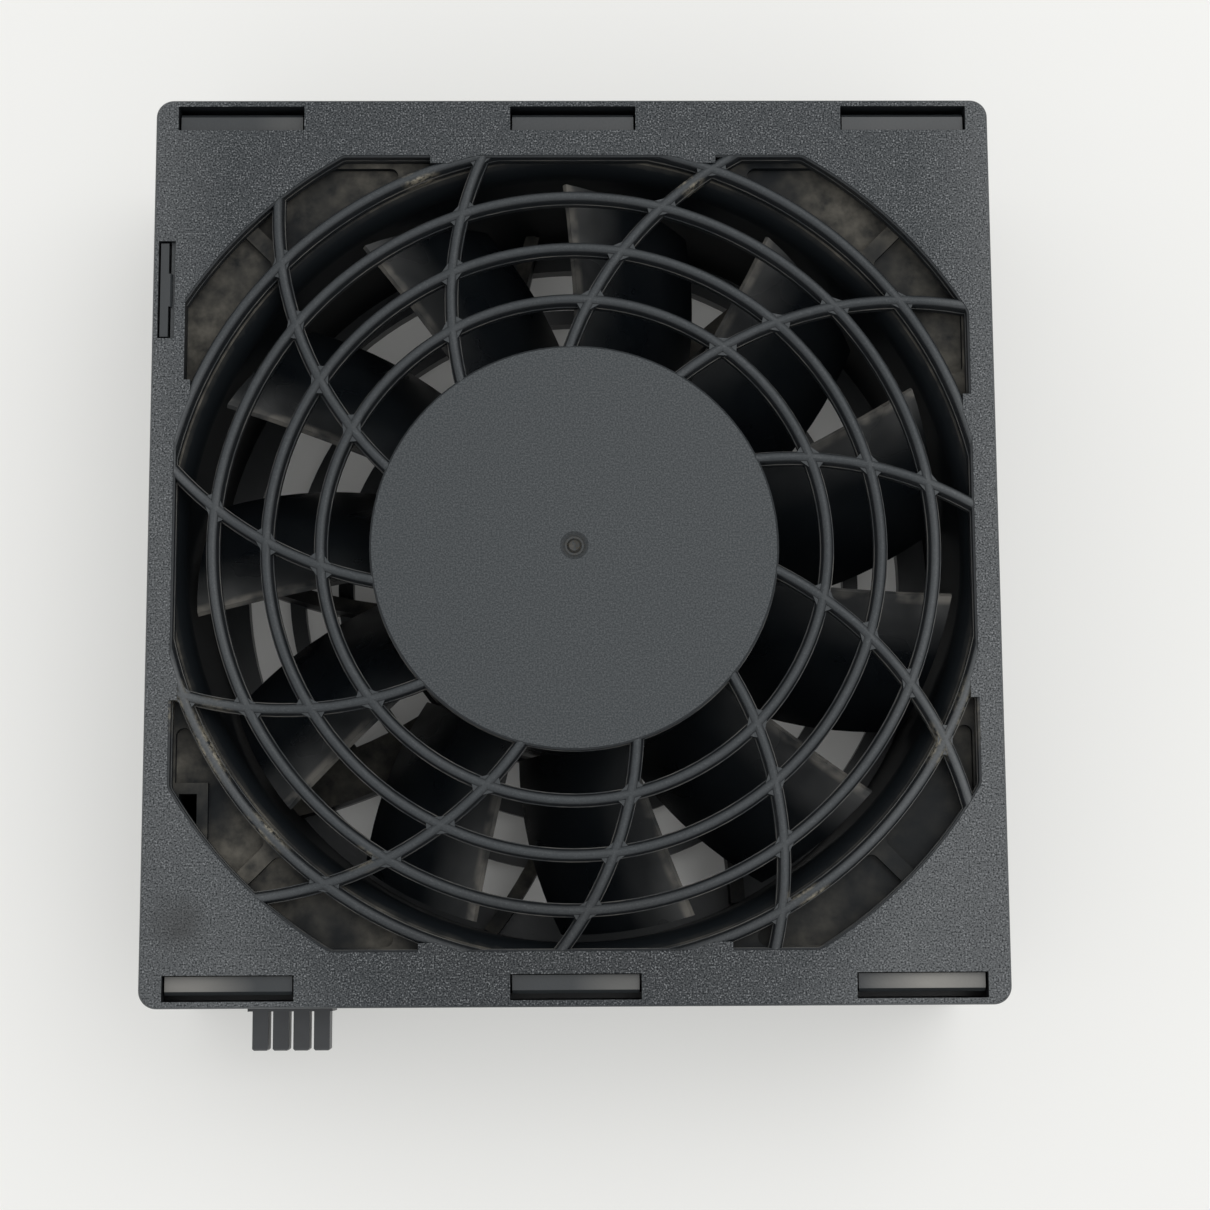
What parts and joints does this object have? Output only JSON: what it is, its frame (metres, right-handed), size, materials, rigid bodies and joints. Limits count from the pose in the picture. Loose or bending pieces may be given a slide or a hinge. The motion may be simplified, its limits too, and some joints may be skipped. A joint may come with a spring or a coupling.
{
  "type": "server fan module",
  "caption": "Axial fan in a snap-together plastic case with a spiral-spoke front grille and a blind-mate plug on one edge.",
  "frame": {"origin": "fan axis in the plane of the rear face", "axes": "+Z along the fan axis to the front grille, +Y to the top edge, -Y to the edge with the plug"},
  "size_m": [0.1248, 0.1413, 0.044],
  "materials": {
    "bezel_plastic": "dark grey, fine moulded grain",
    "housing_plastic": "dark, fine moulded grain",
    "frame_plastic": "smooth black, dusty on the corner flanges",
    "impeller_plastic": "smooth black",
    "yoke_steel": "drawn zinc-plated cup",
    "magnet": "bonded ferrite, dull dark brown",
    "brass": "turned",
    "bearing_steel": "ground",
    "spring_steel": "blued spring steel",
    "lamination_steel": "stacked laminations",
    "insulator_plastic": "natural nylon",
    "copper_winding": "enamelled copper wire",
    "board": "green solder mask",
    "chip_plastic": "moulded epoxy",
    "connector_plastic": "smooth black nylon",
    "contact_metal": "plated contact",
    "lead_black": "PVC",
    "lead_red": "PVC",
    "lead_yellow": "PVC",
    "lead_blue": "PVC"
  },
  "bodies": {
    "housing": {"front_bezel": "bezel_plastic", "rear_housing": "housing_plastic", "fan_frame": "frame_plastic", "front_bearing_outer_race": "bearing_steel", "front_bearing_balls": "bearing_steel", "rear_bearing_outer_race": "bearing_steel", "rear_bearing_balls": "bearing_steel", "bearing_tube": "brass", "stator_core": "lamination_steel", "front_insulator": "insulator_plastic", "rear_insulator": "insulator_plastic", "stator_coils": "copper_winding", "motor_circuit_board": "board", "board_components": "chip_plastic", "connector_housing": "connector_plastic", "connector_contacts": "contact_metal", "lead_wire_1": "lead_black", "lead_wire_2": "lead_red", "lead_wire_3": "lead_yellow", "lead_wire_4": "lead_blue"},
    "rotor": {"impeller": "impeller_plastic", "rotor_yoke": "yoke_steel", "magnet_ring": "magnet", "shaft_bushing": "brass", "shaft": "bearing_steel", "preload_washer": "spring_steel", "retaining_clip": "spring_steel", "front_bearing_inner_race": "bearing_steel", "rear_bearing_inner_race": "bearing_steel"}
  },
  "joints": [
    {"name": "rotor_spin", "type": "hinge", "parent": "housing", "child": "rotor", "pos_m": [0, 0, 0.02], "axis": [0, 0, 1], "continuous": true}
  ]
}
